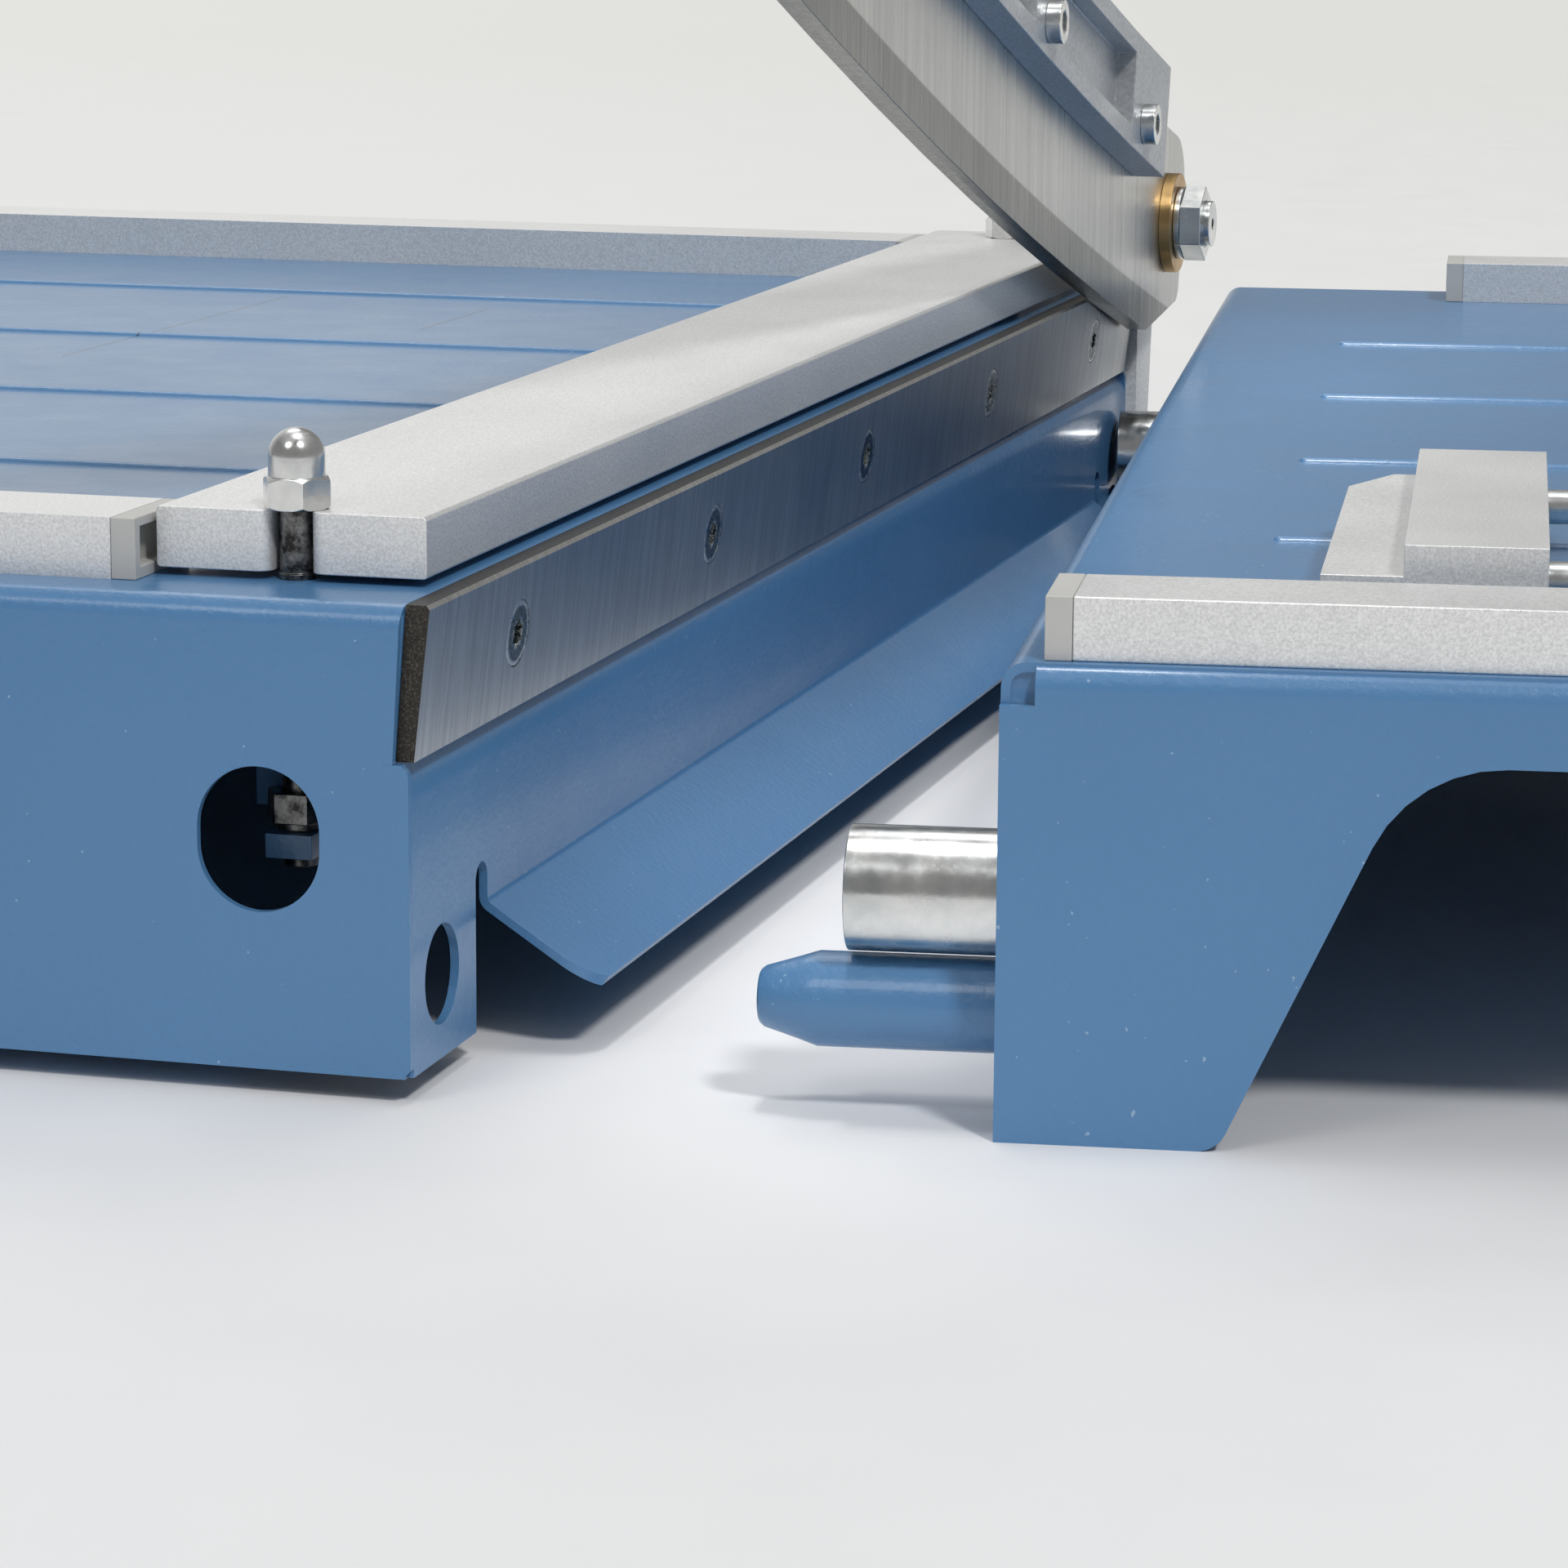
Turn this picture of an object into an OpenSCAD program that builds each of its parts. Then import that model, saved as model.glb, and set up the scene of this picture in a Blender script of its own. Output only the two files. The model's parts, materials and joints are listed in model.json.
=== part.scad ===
// Lever sheet cutter with a clamp bar, a waste chute and a plug-in front table.
// Millimetres. +X runs from the main table towards the front table, +Y away from the operator along the
// cut, +Z up. The origin is the middle of the sole of the front right foot, on the bench.

/* [Main table] */
// Width of the main table, across the cut
table_w = 360; // [300:5:420]
// Length of the main table, along the cut
table_l = 560; // [555:1:600]
// Height of the table surface above the bench
table_h = 80; // [78:0.5:84]
// Thickness of the folded sheet steel
sheet_t = 1.5; // [1.2:0.1:2]
// Height of the rubber feet
foot_h = 4.2; // [3:0.1:6]
// Distance between two stiffening ribs
rib_pitch = 103.5; // [90:0.5:110]

/* [Blades] */
// Length of the counter blade
blade_l = 554; // [550:1:556]
// Height of the counter blade
blade_h = 25; // [22:0.5:26]
// Depth of the upper knife
knife_depth = 55; // [50:0.5:60]
// Angle of the raised knife edge above the table
knife_raise = 13.2; // [5:0.1:40]

/* [Clamp] */
// Width of the clamp bar
clamp_w = 46; // [44:0.5:46]
// Thickness of the clamp bar
clamp_t = 10; // [8:0.5:12]
// Gap under the clamp bar when it is lifted
clamp_gap = 1.3; // [1:0.1:2]

/* [Front table] */
// Width of the front table
front_w = 250; // [240:5:300]
// Length of the front table
front_l = 586; // [580:1:590]
// Height of the front table
front_h = 75; // [72:0.5:76]
// Gap between the side face and the plugged-in front table
front_gap = 25.2; // [25:0.1:30]
// Angle at which the front table stands swung out
front_swing = 7.02; // [2:0.02:9]

/* [Plug points] */
// Diameter of the plug holes in the side face
plug_hole_d = 16.4; // [16.2:0.1:17]
// Diameter of the plug pins
plug_pin_d = 15.2; // [14:0.1:15.4]
// Diameter of the spacer tubes
spacer_d = 20; // [18:0.5:22]

/* [Hidden] */

$fn = 48;
cut_eps = 1;

blue = [0.20, 0.36, 0.58];
alu = [0.75, 0.75, 0.74];
steel = [0.55, 0.56, 0.57];
zinc = [0.72, 0.74, 0.75];
dark = [0.08, 0.08, 0.09];
cap_grey = [0.66, 0.65, 0.62];
bronze = [0.62, 0.48, 0.28];

// Datum: the front right foot stands this far in from the side face and behind the front face
foot_in_x = 45;
foot_in_y = 40;

// Front skirt and bends
bend_r = 3.1;
skirt_z = foot_h;
flange_w = 58;
flange_end_x = 31;
top_edge_x = 1;
access_hole_d = 20.6;
access_hole_x = 25.2;
access_hole_z = 41.6;
access_hole_up = 1.45;

// Cutting side profile
ledge_z = 55;
wall_bend_z = 51.2;
wall_bend_r = 7;
chute_bend_z = 24.6;
chute_start_y = 38;
chute_end_y = 522;
chute_corner_r = 7;
chute_end = [18.9, 11.8];
chute_lip_x = 19.35;
slot_w = 6;
slot_top_z = 29.3;

// Ribs on both tables
rib_r = 1.9;
rib_up = 0.8;
rib_first_y = 135.5;
front_rib_first_y = 133.5;
front_rib_x = 36;

// Counter blade: bottom inner and outer, top outer and inner
blade_y = 2;
blade_in = 2.7;
blade_out = 0.3;
blade_top_out = 3.1;
blade_top_in = -0.8;
blade_lean = atan((blade_top_out - blade_out) / blade_h);
blade_screw_y = 49;
blade_screw_pitch = 115;
blade_screw_z = 68;
blade_screw_head = 11;
blade_screw_d = 6;

// Rulers
ruler_d = 22.5;
ruler_h = 10;
ruler_y = 11.5;
ruler_end_x = 54.2;
ruler_cap_l = 4.2;
ruler_left = 5;

// Clamp
clamp_x = -49;
clamp_y = 18;
clamp_end_y = 547;
lip_r = 2.5;
stud_x = -26.3;
stud_y = [22, 532];
stud_d = 5.8;
nut_s = 10;
bracket_z = 35;
lock_nut_z = 40.4;
clamp_z = table_h + clamp_gap;
nut_z = clamp_z + clamp_t + 0.05;
lift_y = [190, 370];
lift_pin_d = 8;

// Pivot of the knife arm
pivot_y = 570;
pivot_z = 93;
pivot_d = 12;
running = 0.05;
knife_x = 3.4;
knife_t = 5;
rail_x = 8.42;
rail_t = 8;
boss_t = 3;
edge_drop = 31;
edge_bow_r = 4200;
knife_l = 575;
knife_end = 20.5;
heel_y = -20;
heel_z = -17.5;

// Back gauge
gauge_x = -340;

// Front table
front_y = -1.5;
plug_y = [15.3, 545];
plug_z = 17.6;
plug_hole_z = plug_z + 0.45;
spacer_z = 35.8;
spacer_out = 24.7;
pin_out = 39;
plug_in = 24;
notch_w = 5.4;
notch_h = 6.4;
curl_r = 4;
leg_w = 34.4;
leg_slope = 0.4615;
arch_z = 61.3;
arch_r = 22;
leg_r = 5;
front_ruler_y = 4;
front_cap_x = 6.4;
rear_cap_x = 58.5;
rear_ruler_y = 557;
front_screw_x = [90, 225];

// Narrow-cut stop, in the front table's own frame
stop_y = 36;
stop_l = 118;
stop_z = front_h + 1.1;
rod_y = [46, 128];
rod_z = front_h + 8;
rod_d = 6;
bearing_x = 130;
bearing_w = 30;
end_bar_x = 205;

// Rest place of the front table: turned about the far edge of the rear plug point
swing_axis = [-sheet_t / 2, plug_y[1] + spacer_d / 2];
front_home = [front_gap, front_y] - swing_axis;
front_place = swing_axis + [
  front_home.x * cos(front_swing) - front_home.y * sin(front_swing),
  front_home.x * sin(front_swing) + front_home.y * cos(front_swing)
];

// Sheet profiles: a centre line with rounded corners, given a thickness
function unit(v) = v / norm(v);
function turn(a, b) = ((b - a + 540) % 360) - 180;
function fillet(p, q, s, r) =
  let (a = unit(p - q), b = unit(s - q), half = acos(a * b) / 2,
       c = q + unit(a + b) * r / sin(half), u = q + a * r / tan(half) - c, v = q + b * r / tan(half) - c,
       from = atan2(u.y, u.x), by = turn(from, atan2(v.y, v.x)))
  [for (i = [0:6]) c + r * [cos(from + by * i / 6), sin(from + by * i / 6)]];
function rounded_path(p, r) = [
  p[0],
  for (i = [1:len(p) - 2]) each fillet(p[i - 1], p[i], p[i + 1], r[i - 1]),
  p[len(p) - 1]
];
function along(p, i) =
  let (last = len(p) - 1, a = i == 0 ? p[1] - p[0] : p[i] - p[i - 1], b = i == last ? a : p[i + 1] - p[i])
  unit(unit(a) + unit(b));
function side(p, i) = let (t = along(p, i)) [-t.y, t.x];
function ribbon(p, t) = [
  for (i = [0:len(p) - 1]) p[i] + side(p, i) * t / 2,
  for (i = [len(p) - 1:-1:0]) p[i] - side(p, i) * t / 2
];

module at_datum() translate([foot_in_x, -foot_in_y, 0]) children();
module on_front_table() at_datum() translate(front_place) rotate([0, 0, front_swing]) children();
module on_arm() at_datum() translate([0, pivot_y, pivot_z]) rotate([-knife_raise, 0, 0]) children();
// Extrudes an XZ outline from y0 to y1
module along_y(y0, y1) translate([0, y1, 0]) rotate([90, 0, 0]) linear_extrude(y1 - y0) children();
// Extrudes a YZ outline from x0 to x1
module along_x(x0, x1) translate([x0, 0, 0]) rotate([90, 0, 90]) linear_extrude(x1 - x0) children();
module rod_x(x0, x1, d) translate([x0, 0, 0]) rotate([0, 90, 0]) cylinder(h = x1 - x0, d = d);
module box(low, high) translate(low) cube(high - low);
module hexagon_rod(h, s) cylinder(h = h, d = s / cos(30), $fn = 6);

// A rounded bead along X on a table surface at z
module rib(x0, x1, y, z) {
  translate([0, y, z + rib_up - rib_r]) {
    rod_x(x0, x1, 2 * rib_r);
    for (x = [x0, x1]) translate([x, 0, 0]) sphere(rib_r);
  }
}

// Flat-headed screw, head up, its top at z = 0
module flat_screw(head, d, length, sink) {
  difference() {
    union() {
      translate([0, 0, -0.4]) cylinder(h = 0.4, d = head);
      translate([0, 0, -sink]) cylinder(h = sink - 0.4, d1 = d, d2 = head);
      translate([0, 0, -length]) cylinder(h = length - sink, d = d);
    }
    star_socket(d * 0.86);
  }
}
module star_socket(d) {
  translate([0, 0, -1.8]) linear_extrude(1.8 + cut_eps)
    polygon([for (i = [0:11]) (i % 2 == 0 ? 0.5 : 0.36) * d * [cos(i * 30), sin(i * 30)]]);
}
module flat_screw_hole(head, d, length, sink) {
  translate([0, 0, -0.45]) cylinder(h = 3, d = head + 0.35);
  translate([0, 0, -sink - 0.05]) cylinder(h = sink - 0.4, d1 = d + 0.1, d2 = head + 0.35);
  translate([0, 0, -length - 0.5]) cylinder(h = length, d = d + 0.1);
}
// Round-headed socket screw, the head's seat at z = 0
module socket_screw(head, head_h, d, length) {
  difference() {
    union() {
      cylinder(h = head_h, d = head);
      translate([0, 0, -length]) cylinder(h = length + 0.1, d = d);
    }
    translate([0, 0, head_h * 0.4]) hexagon_rod(head_h, d * 0.8);
  }
}
module star_knob(d, h) {
  difference() {
    cylinder(h = h, d = d);
    for (a = [0:60:300]) rotate(a) translate([d * 0.58, 0, -cut_eps]) cylinder(h = h + 2 * cut_eps,
        d = d * 0.3);
  }
}

// ---- Main table ----
feet_xy = [for (x = [-foot_in_x, foot_in_x - table_w], y = [foot_in_y, table_l - foot_in_y]) [x, y]];
fixing_xy = [for (x = [-80, 80 - table_w], y = [20, table_l - 20]) [x, y]];

module housing_skirt_end() {
  polygon(concat(
    [[-blade_in - 3, skirt_z], [-1.5, skirt_z]],
    rounded_path([[0, skirt_z + 1.5], [0, ledge_z - 0.2], [-blade_in + 0.1, ledge_z - 0.2]], [2]),
    [[-blade_in - 3, ledge_z - 0.2]]));
}
module table_housing() color(blue) at_datum() {
  t = sheet_t;
  hoop = rounded_path(
    [[t / 2, skirt_z], [t / 2, table_h - t / 2], [table_l - t / 2, table_h - t / 2], [table_l - t / 2,
        skirt_z]],
    [bend_r, bend_r]);
  difference() {
    union() {
      along_x(-table_w, -top_edge_x) polygon(ribbon(hoop, t));
      along_y(0, t) housing_skirt_end();
      along_y(table_l - t, table_l) housing_skirt_end();
      for (i = [0:3]) rib(15 - table_w, -60, rib_first_y + i * rib_pitch, table_h);
    }
    along_y(-cut_eps, t + cut_eps) housing_top_relief();
    along_y(table_l - t - cut_eps, table_l + cut_eps) housing_top_relief();
    access_hole();
    for (y = stud_y) translate([stud_x, y, table_h - 3]) cylinder(h = 4, d = stud_d + 0.4);
    for (y = lift_y) translate([stud_x, y, table_h - 3]) cylinder(h = 4, d = lift_pin_d + 0.6);
    for (y = [ruler_y, table_l - ruler_y - ruler_d], x = ruler_screw_x)
      translate([x, y + ruler_d / 2, table_h - 3]) cylinder(h = 4, d = 4.3);
    for (p = bracket_screw_xz) translate([p.x, table_l + cut_eps, p[1]]) rotate([90, 0, 0])
        cylinder(h = 6, d = 6.4);
  }
}
// Oval hole in the front skirt
module access_hole() translate([-access_hole_x, sheet_t + cut_eps, access_hole_z]) rotate([90, 0, 0]) {
  r = access_hole_d / 2;
  for (z = [-access_hole_up, access_hole_up]) translate([0, z, 0]) cylinder(h = sheet_t + 2 * cut_eps,
      r = r);
  box([-r, -access_hole_up, 0], [r, access_hole_up, sheet_t + 2 * cut_eps]);
}
// The skirt's edge beside the counter blade leans with the blade
module housing_top_relief() {
  polygon([
    [-blade_in + 0.1, ledge_z - 0.2], [cut_eps, ledge_z - 0.2], [cut_eps, table_h + cut_eps],
    [-1.2, table_h + cut_eps], [-1.2, table_h - 1]
  ]);
}

module table_left_wall() color(blue) at_datum()
  box([-table_w, sheet_t + 0.02, skirt_z], [sheet_t - table_w, table_l - sheet_t - 0.02,
      table_h - sheet_t - 0.02]);
module table_bottom_flanges() color(blue) at_datum() difference() {
  for (y = [[sheet_t + 0.02, flange_w], [table_l - flange_w, table_l - sheet_t - 0.02]])
    box([sheet_t + 0.02 - table_w, y[0], skirt_z], [-flange_end_x, y[1], skirt_z + sheet_t]);
  for (p = feet_xy) translate([p.x, p.y, 0]) cylinder(h = 3 * skirt_z, d = 4.3);
  for (p = fixing_xy) translate([p.x, p.y, 0]) cylinder(h = 3 * skirt_z, d = 6.5);
}

module side_profile(low) {
  upper = [[-1.8, table_h - sheet_t - 0.1], [-blade_in - 0.95, ledge_z - 0.6], [-sheet_t / 2, wall_bend_z]];
  polygon(ribbon(rounded_path(concat(upper, low), [1.2, wall_bend_r, if (len(low) > 1) 2.2]), sheet_t));
}
// Rounds the lip's outer corner at y; facing says which way the chute runs from there
module chute_corner(y, facing) translate([chute_lip_x - chute_corner_r, y + facing * chute_corner_r, 0])
  scale([1, -facing, 1]) difference() {
    cube([chute_corner_r + 2, chute_corner_r + 2, 24]);
    cylinder(h = 24, r = chute_corner_r);
  }
module cutting_side_wall() color(blue) at_datum() {
  t = sheet_t;
  chute = [[-t / 2, chute_bend_z], chute_end];
  difference() {
    union() {
      along_y(t + 0.02, table_l - t - 0.02) side_profile([[-t / 2, slot_top_z]]);
      along_y(chute_start_y, chute_end_y) side_profile(chute);
      along_y(t + 0.02, chute_start_y - slot_w) side_profile([[-t / 2, skirt_z]]);
      along_y(chute_end_y + slot_w, table_l - t - 0.02) side_profile([[-t / 2, skirt_z]]);
    }
    for (y = plug_y) translate([-3, y, plug_hole_z]) rod_x(0, 6, plug_hole_d);
    chute_corner(chute_start_y, 1);
    chute_corner(chute_end_y, -1);
    for (y = [chute_start_y - slot_w / 2, chute_end_y + slot_w / 2])
      translate([-3, y, slot_top_z]) rod_x(0, 6, slot_w);
    for (i = [0:4]) translate([-8, blade_screw_y + i * blade_screw_pitch, blade_screw_z]) rod_x(0, 9, 8);
  }
}

module rubber_feet() color(dark) at_datum()
  for (p = feet_xy) translate([p.x, p.y, 0]) difference() {
    cylinder(h = foot_h, d = 22);
    if (p != feet_xy[0]) translate([0, 0, -cut_eps]) cylinder(h = 2 + cut_eps, d = 9);
    translate([0, 0, 2]) cylinder(h = foot_h, d = 4.3);
  }
module foot_screws() color(zinc) at_datum()
  for (p = feet_xy) translate([p.x, p.y, 0]) {
    translate([0, 0, 2.1]) cylinder(h = 9, d = 4);
    translate([0, 0, skirt_z + sheet_t + 0.02]) hexagon_rod(3.2, 7);
  }

// ---- Counter blade ----
module blade_screw_places() for (i = [0:4])
  translate([blade_out + (blade_top_out - blade_out) * (blade_screw_z - ledge_z) / blade_h,
             blade_screw_y + i * blade_screw_pitch, blade_screw_z])
    rotate([0, 90 + blade_lean, 0]) children();
module counter_blade() color(steel) at_datum() difference() {
  along_y(blade_y, blade_y + blade_l) polygon([
    [-blade_in, ledge_z], [blade_out, ledge_z], [blade_top_out, ledge_z + blade_h - 0.7],
    [blade_top_out - 0.5, ledge_z + blade_h], [blade_top_in, ledge_z + blade_h]
  ]);
  blade_screw_places() flat_screw_hole(blade_screw_head, blade_screw_d, 16, 2.6);
}
module counter_blade_screws() color(zinc) at_datum()
  blade_screw_places() flat_screw(blade_screw_head, blade_screw_d, 15, 2.6);
module blade_support_bar() color(steel) at_datum() difference() {
  box([-15, 4, 58], [-4.75, table_l - 4, 76]);
  blade_screw_places() translate([0, 0, -20]) cylinder(h = 25, d = blade_screw_d + 0.1);
}

// ---- Rulers ----
ruler_screw_x = [-75, -200, ruler_left + 25 - table_w];
module ruler_section() difference() {
  square([ruler_d, ruler_h]);
  translate([3, 2]) square([ruler_d - 6, ruler_h - 4.5]);
}
module ruler(x0, x1, y, z) along_x(x0, x1) translate([y, z]) ruler_section();
// End cap with a pocket in the face that shows; the plug goes into the hollow ruler
module ruler_cap(x, y, z, facing) {
  translate([x, y, z]) mirror([facing > 0 ? 0 : 1, 0, 0]) difference() {
    cube([ruler_cap_l, ruler_d, ruler_h]);
    translate([ruler_cap_l - 2.5, 2.2, 2]) cube([2.5 + cut_eps, ruler_d - 4.4, ruler_h - 3.6]);
  }
}
module front_ruler() color(alu) at_datum() difference() {
  ruler(ruler_left - table_w, -ruler_end_x, ruler_y, table_h);
  ruler_screw_holes(ruler_y);
}
module rear_ruler() color(alu) at_datum() difference() {
  ruler(ruler_left - table_w, -ruler_end_x, table_l - ruler_y - ruler_d, table_h);
  ruler_screw_holes(table_l - ruler_y - ruler_d);
}
module ruler_screw_holes(y) for (x = ruler_screw_x)
  translate([x, y + ruler_d / 2, table_h - cut_eps]) cylinder(h = 3 + cut_eps, d = 4.1);
module ruler_end_caps() color(cap_grey) at_datum()
  for (y = [ruler_y, table_l - ruler_y - ruler_d]) {
    ruler_cap(-ruler_end_x + 0.05, y, table_h, 1);
    ruler_cap(ruler_left - table_w - 0.05, y, table_h, -1);
  }
module ruler_screws() color(zinc) at_datum()
  for (y = [ruler_y, table_l - ruler_y - ruler_d], x = ruler_screw_x)
    translate([x, y + ruler_d / 2, table_h - sheet_t - 0.02]) mirror([0, 0, 1]) socket_screw(7, 2.8, 4, 5);

// ---- Clamp studs and lift ----
module clamp_studs() color(steel) at_datum() for (y = stud_y) translate([stud_x, y, 0]) {
  translate([0, 0, bracket_z - 2]) cylinder(h = nut_z + 10 - bracket_z, d = stud_d);
  translate([0, 0, table_h]) cylinder(h = 1, d = stud_d + 0.8);
}
module cap_nuts() color(zinc) at_datum() for (y = stud_y) translate([stud_x, y, nut_z]) difference() {
  union() {
    intersection() {
      hexagon_rod(5.2, nut_s);
      rotate_extrude() polygon([[0, 0], [5.1, 0], [5.9, 0.6], [5.9, 4.4], [4.9, 5.2], [0, 5.2]]);
    }
    cylinder(h = 8.4, d = nut_s - 0.8);
    translate([0, 0, 8.4]) sphere(d = nut_s - 0.8);
  }
  translate([0, 0, -5]) cylinder(h = 13.2, d = stud_d + 0.1);
}
module stud_bracket() color(blue) at_datum() for (y = stud_y) translate([stud_x, y, 0]) difference() {
  union() {
    box([-4, -6, bracket_z], [4, 8, bracket_z + 4]);
    box([-4, 6.5, bracket_z], [4, 8, lock_nut_z + 2]);
    box([-10.3, 6.5, lock_nut_z + 0.6], [4, 8, table_h - sheet_t - 0.02]);
    box([-10.3, -6, table_h - sheet_t - 1.52], [8, 8, table_h - sheet_t - 0.02]);
  }
  translate([0, 0, 20]) cylinder(h = 70, d = stud_d + 0.2);
}
module stud_lock_nuts() color(zinc) at_datum() for (y = stud_y) translate([stud_x, y, 0]) difference() {
  union() {
    translate([0, 0, lock_nut_z]) hexagon_rod(5, nut_s);
    translate([0, 0, bracket_z + 4.02]) cylinder(h = lock_nut_z - bracket_z - 4, d = 8);
  }
  cylinder(h = 60, d = stud_d + 0.1);
}
module lift_pin_guide() color(blue) at_datum() difference() {
  union() {
    box([-42, 150, 52], [-17, 410, 53.5]);
    for (y = [150, 408.5]) box([-42, y, 52], [-17, y + 1.5, table_h - sheet_t - 0.02]);
  }
  for (y = lift_y) translate([stud_x, y, 50]) cylinder(h = 5, d = lift_pin_d + 0.6);
}
module lift_pins() color(steel) at_datum() for (y = lift_y) translate([stud_x, y, 0]) {
  translate([0, 0, 48]) cylinder(h = clamp_z + 4 - 48, d = lift_pin_d);
  translate([0, 0, 70]) cylinder(h = 2, d = 12);
}
module lift_springs() color(steel) at_datum() for (y = lift_y) translate([stud_x, y, 53.55]) difference() {
  cylinder(h = 16.4, d = 11.4);
  translate([0, 0, -cut_eps]) cylinder(h = 19, d = 9.2);
}

// ---- Clamp bar ----
module clamp_slot(y0, y1, round_y) {
  box([stud_x - 3.4, y0, clamp_z - cut_eps], [stud_x + 3.4, y1, clamp_z + clamp_t + cut_eps]);
  translate([stud_x, round_y, clamp_z - cut_eps]) cylinder(h = clamp_t + 2 * cut_eps, d = 6.8);
}
// Rounds both lips of the front slot
module slot_mouth() translate([stud_x, clamp_y, clamp_z - cut_eps]) difference() {
  box([-3.4 - lip_r, -cut_eps, 0], [3.4 + lip_r, lip_r, clamp_t + 2 * cut_eps]);
  for (x = [-3.4 - lip_r, 3.4 + lip_r]) translate([x, lip_r, -cut_eps])
      cylinder(h = clamp_t + 4 * cut_eps, r = lip_r);
}
module clamp_bar() color(alu) at_datum() difference() {
  along_y(clamp_y, clamp_end_y) translate([clamp_x, clamp_z]) polygon([
    [0.4, 0], [clamp_w - 0.4, 0], [clamp_w, 0.4], [clamp_w, clamp_t - 0.5], [clamp_w - 0.5, clamp_t],
    [0.5, clamp_t], [0, clamp_t - 0.5], [0, 0.4]
  ]);
  clamp_slot(clamp_y - cut_eps, stud_y[0] + 1, stud_y[0] + 1);
  slot_mouth();
  clamp_slot(stud_y[1] - 1, clamp_end_y + cut_eps, stud_y[1] - 1);
  for (y = lift_y) translate([stud_x, y, clamp_z - cut_eps]) cylinder(h = cut_eps + 4.05,
      d = lift_pin_d + 0.05);
}

// ---- Pivot ----
bracket_screw_xz = [for (x = [-52, -32], z = [24, 60]) [x, z]];
bracket_t = 12;
lug_r = 12.5;
module pivot_bracket() color(alu) at_datum() translate([0, table_l + 0.02, 0]) difference() {
  union() {
    box([-62, 0, 12], [-2, bracket_t, 70]);
    along_x(-18, 2.8) polygon([
      [0, 12], [bracket_t, 12], [pivot_y - table_l + lug_r, pivot_z - 8],
      [pivot_y - table_l + lug_r, pivot_z], [0.5, pivot_z], [0, table_h]
    ]);
    translate([-18, pivot_y - table_l, pivot_z]) rod_x(0, 20.8, 2 * lug_r);
  }
  translate([-20, pivot_y - table_l, pivot_z]) rod_x(0, 25, pivot_d + 0.1);
  for (p = bracket_screw_xz) translate([p.x, bracket_t + cut_eps, p[1]]) rotate([90, 0, 0])
    cylinder(h = bracket_t + 2 * cut_eps, d = 6.1);
}
module pivot_bracket_screws() color(zinc) at_datum() for (p = bracket_screw_xz)
  translate([p.x, table_l + bracket_t + 0.04, p[1]]) rotate([-90, 0, 0]) socket_screw(10, 5, 6, 22);
module pivot_bracket_nuts() color(zinc) at_datum() for (p = bracket_screw_xz)
  translate([p.x, table_l - sheet_t - 0.02, p[1]]) rotate([90, 0, 0]) difference() {
    hexagon_rod(5, nut_s);
    translate([0, 0, -1]) cylinder(h = 8, d = 6.1);
  }
module pivot_bolt() color(zinc) at_datum() translate([0, pivot_y, pivot_z]) difference() {
  union() {
    rod_x(-20, rail_x + boss_t + 9, pivot_d);
    translate([-25, 0, 0]) rotate([0, 90, 0]) hexagon_rod(6.95, 17);
  }
  translate([rail_x + boss_t + 3, 0, 0]) rod_x(0, 7, 3);
}
module pivot_washers() color(zinc) at_datum() translate([0, pivot_y, pivot_z]) difference() {
  union() {
    rod_x(2.82, knife_x - 0.08, 22);
    rod_x(rail_x + boss_t + 0.1, rail_x + boss_t + 1.6, 19);
  }
  rod_x(-5, 40, pivot_d + 0.1);
}
module pivot_nut() color(zinc) at_datum() translate([rail_x + boss_t + 1.65, pivot_y, pivot_z])
    difference() {
  rotate([0, 90, 0]) hexagon_rod(5.5, 17);
  rod_x(-1, 8, pivot_d + 0.1);
}

// ---- Knife arm, in a frame whose origin is the pivot, with the cutting edge level ----
rail_y = [-50, -612];
rail_screw_y = [for (i = [0:4]) -80 - i * 115];
handle_x = rail_x + rail_t / 2;
// Height of the bowed cutting edge and of lines that follow it
function bow(y) = y * y / (2 * edge_bow_r);
function bow_line(y0, y1, z) = [for (i = [0:12]) let (y = y0 + (y1 - y0) * i / 12) [y, z + bow(y)]];
handle_z = 16 + bow(rail_y[1]);
module upper_knife() color(steel) on_arm() difference() {
  back = knife_depth - edge_drop;
  along_x(knife_x, knife_x + knife_t) polygon(concat(
    rounded_path([[heel_y, back], [knife_end, back], [knife_end, heel_z], [heel_y, -edge_drop]], [14, 5]),
    bow_line(heel_y - 4, -knife_l, -edge_drop),
    bow_line(-knife_l - 12, heel_y - 4, back)));
  rod_x(0, 20, pivot_d + 4.2);
  for (y = rail_screw_y) translate([0, y, 12 + bow(y)]) rod_x(0, 20, 6.1);
}
module knife_rail() color(alu) on_arm() difference() {
  along_x(rail_x, rail_x + rail_t) polygon(concat(
    bow_line(rail_y[0], rail_y[1], 4), bow_line(rail_y[1], rail_y[0], 32)));
  for (y = rail_screw_y) translate([0, y, 12 + bow(y)]) rod_x(0, 30, 6.1);
  for (i = [0:3]) along_x(rail_x + 3, rail_x + rail_t + cut_eps) polygon(concat(
    bow_line(-94 - i * 115, -182 - i * 115, 9), bow_line(-182 - i * 115, -94 - i * 115, 27)));
}
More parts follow.
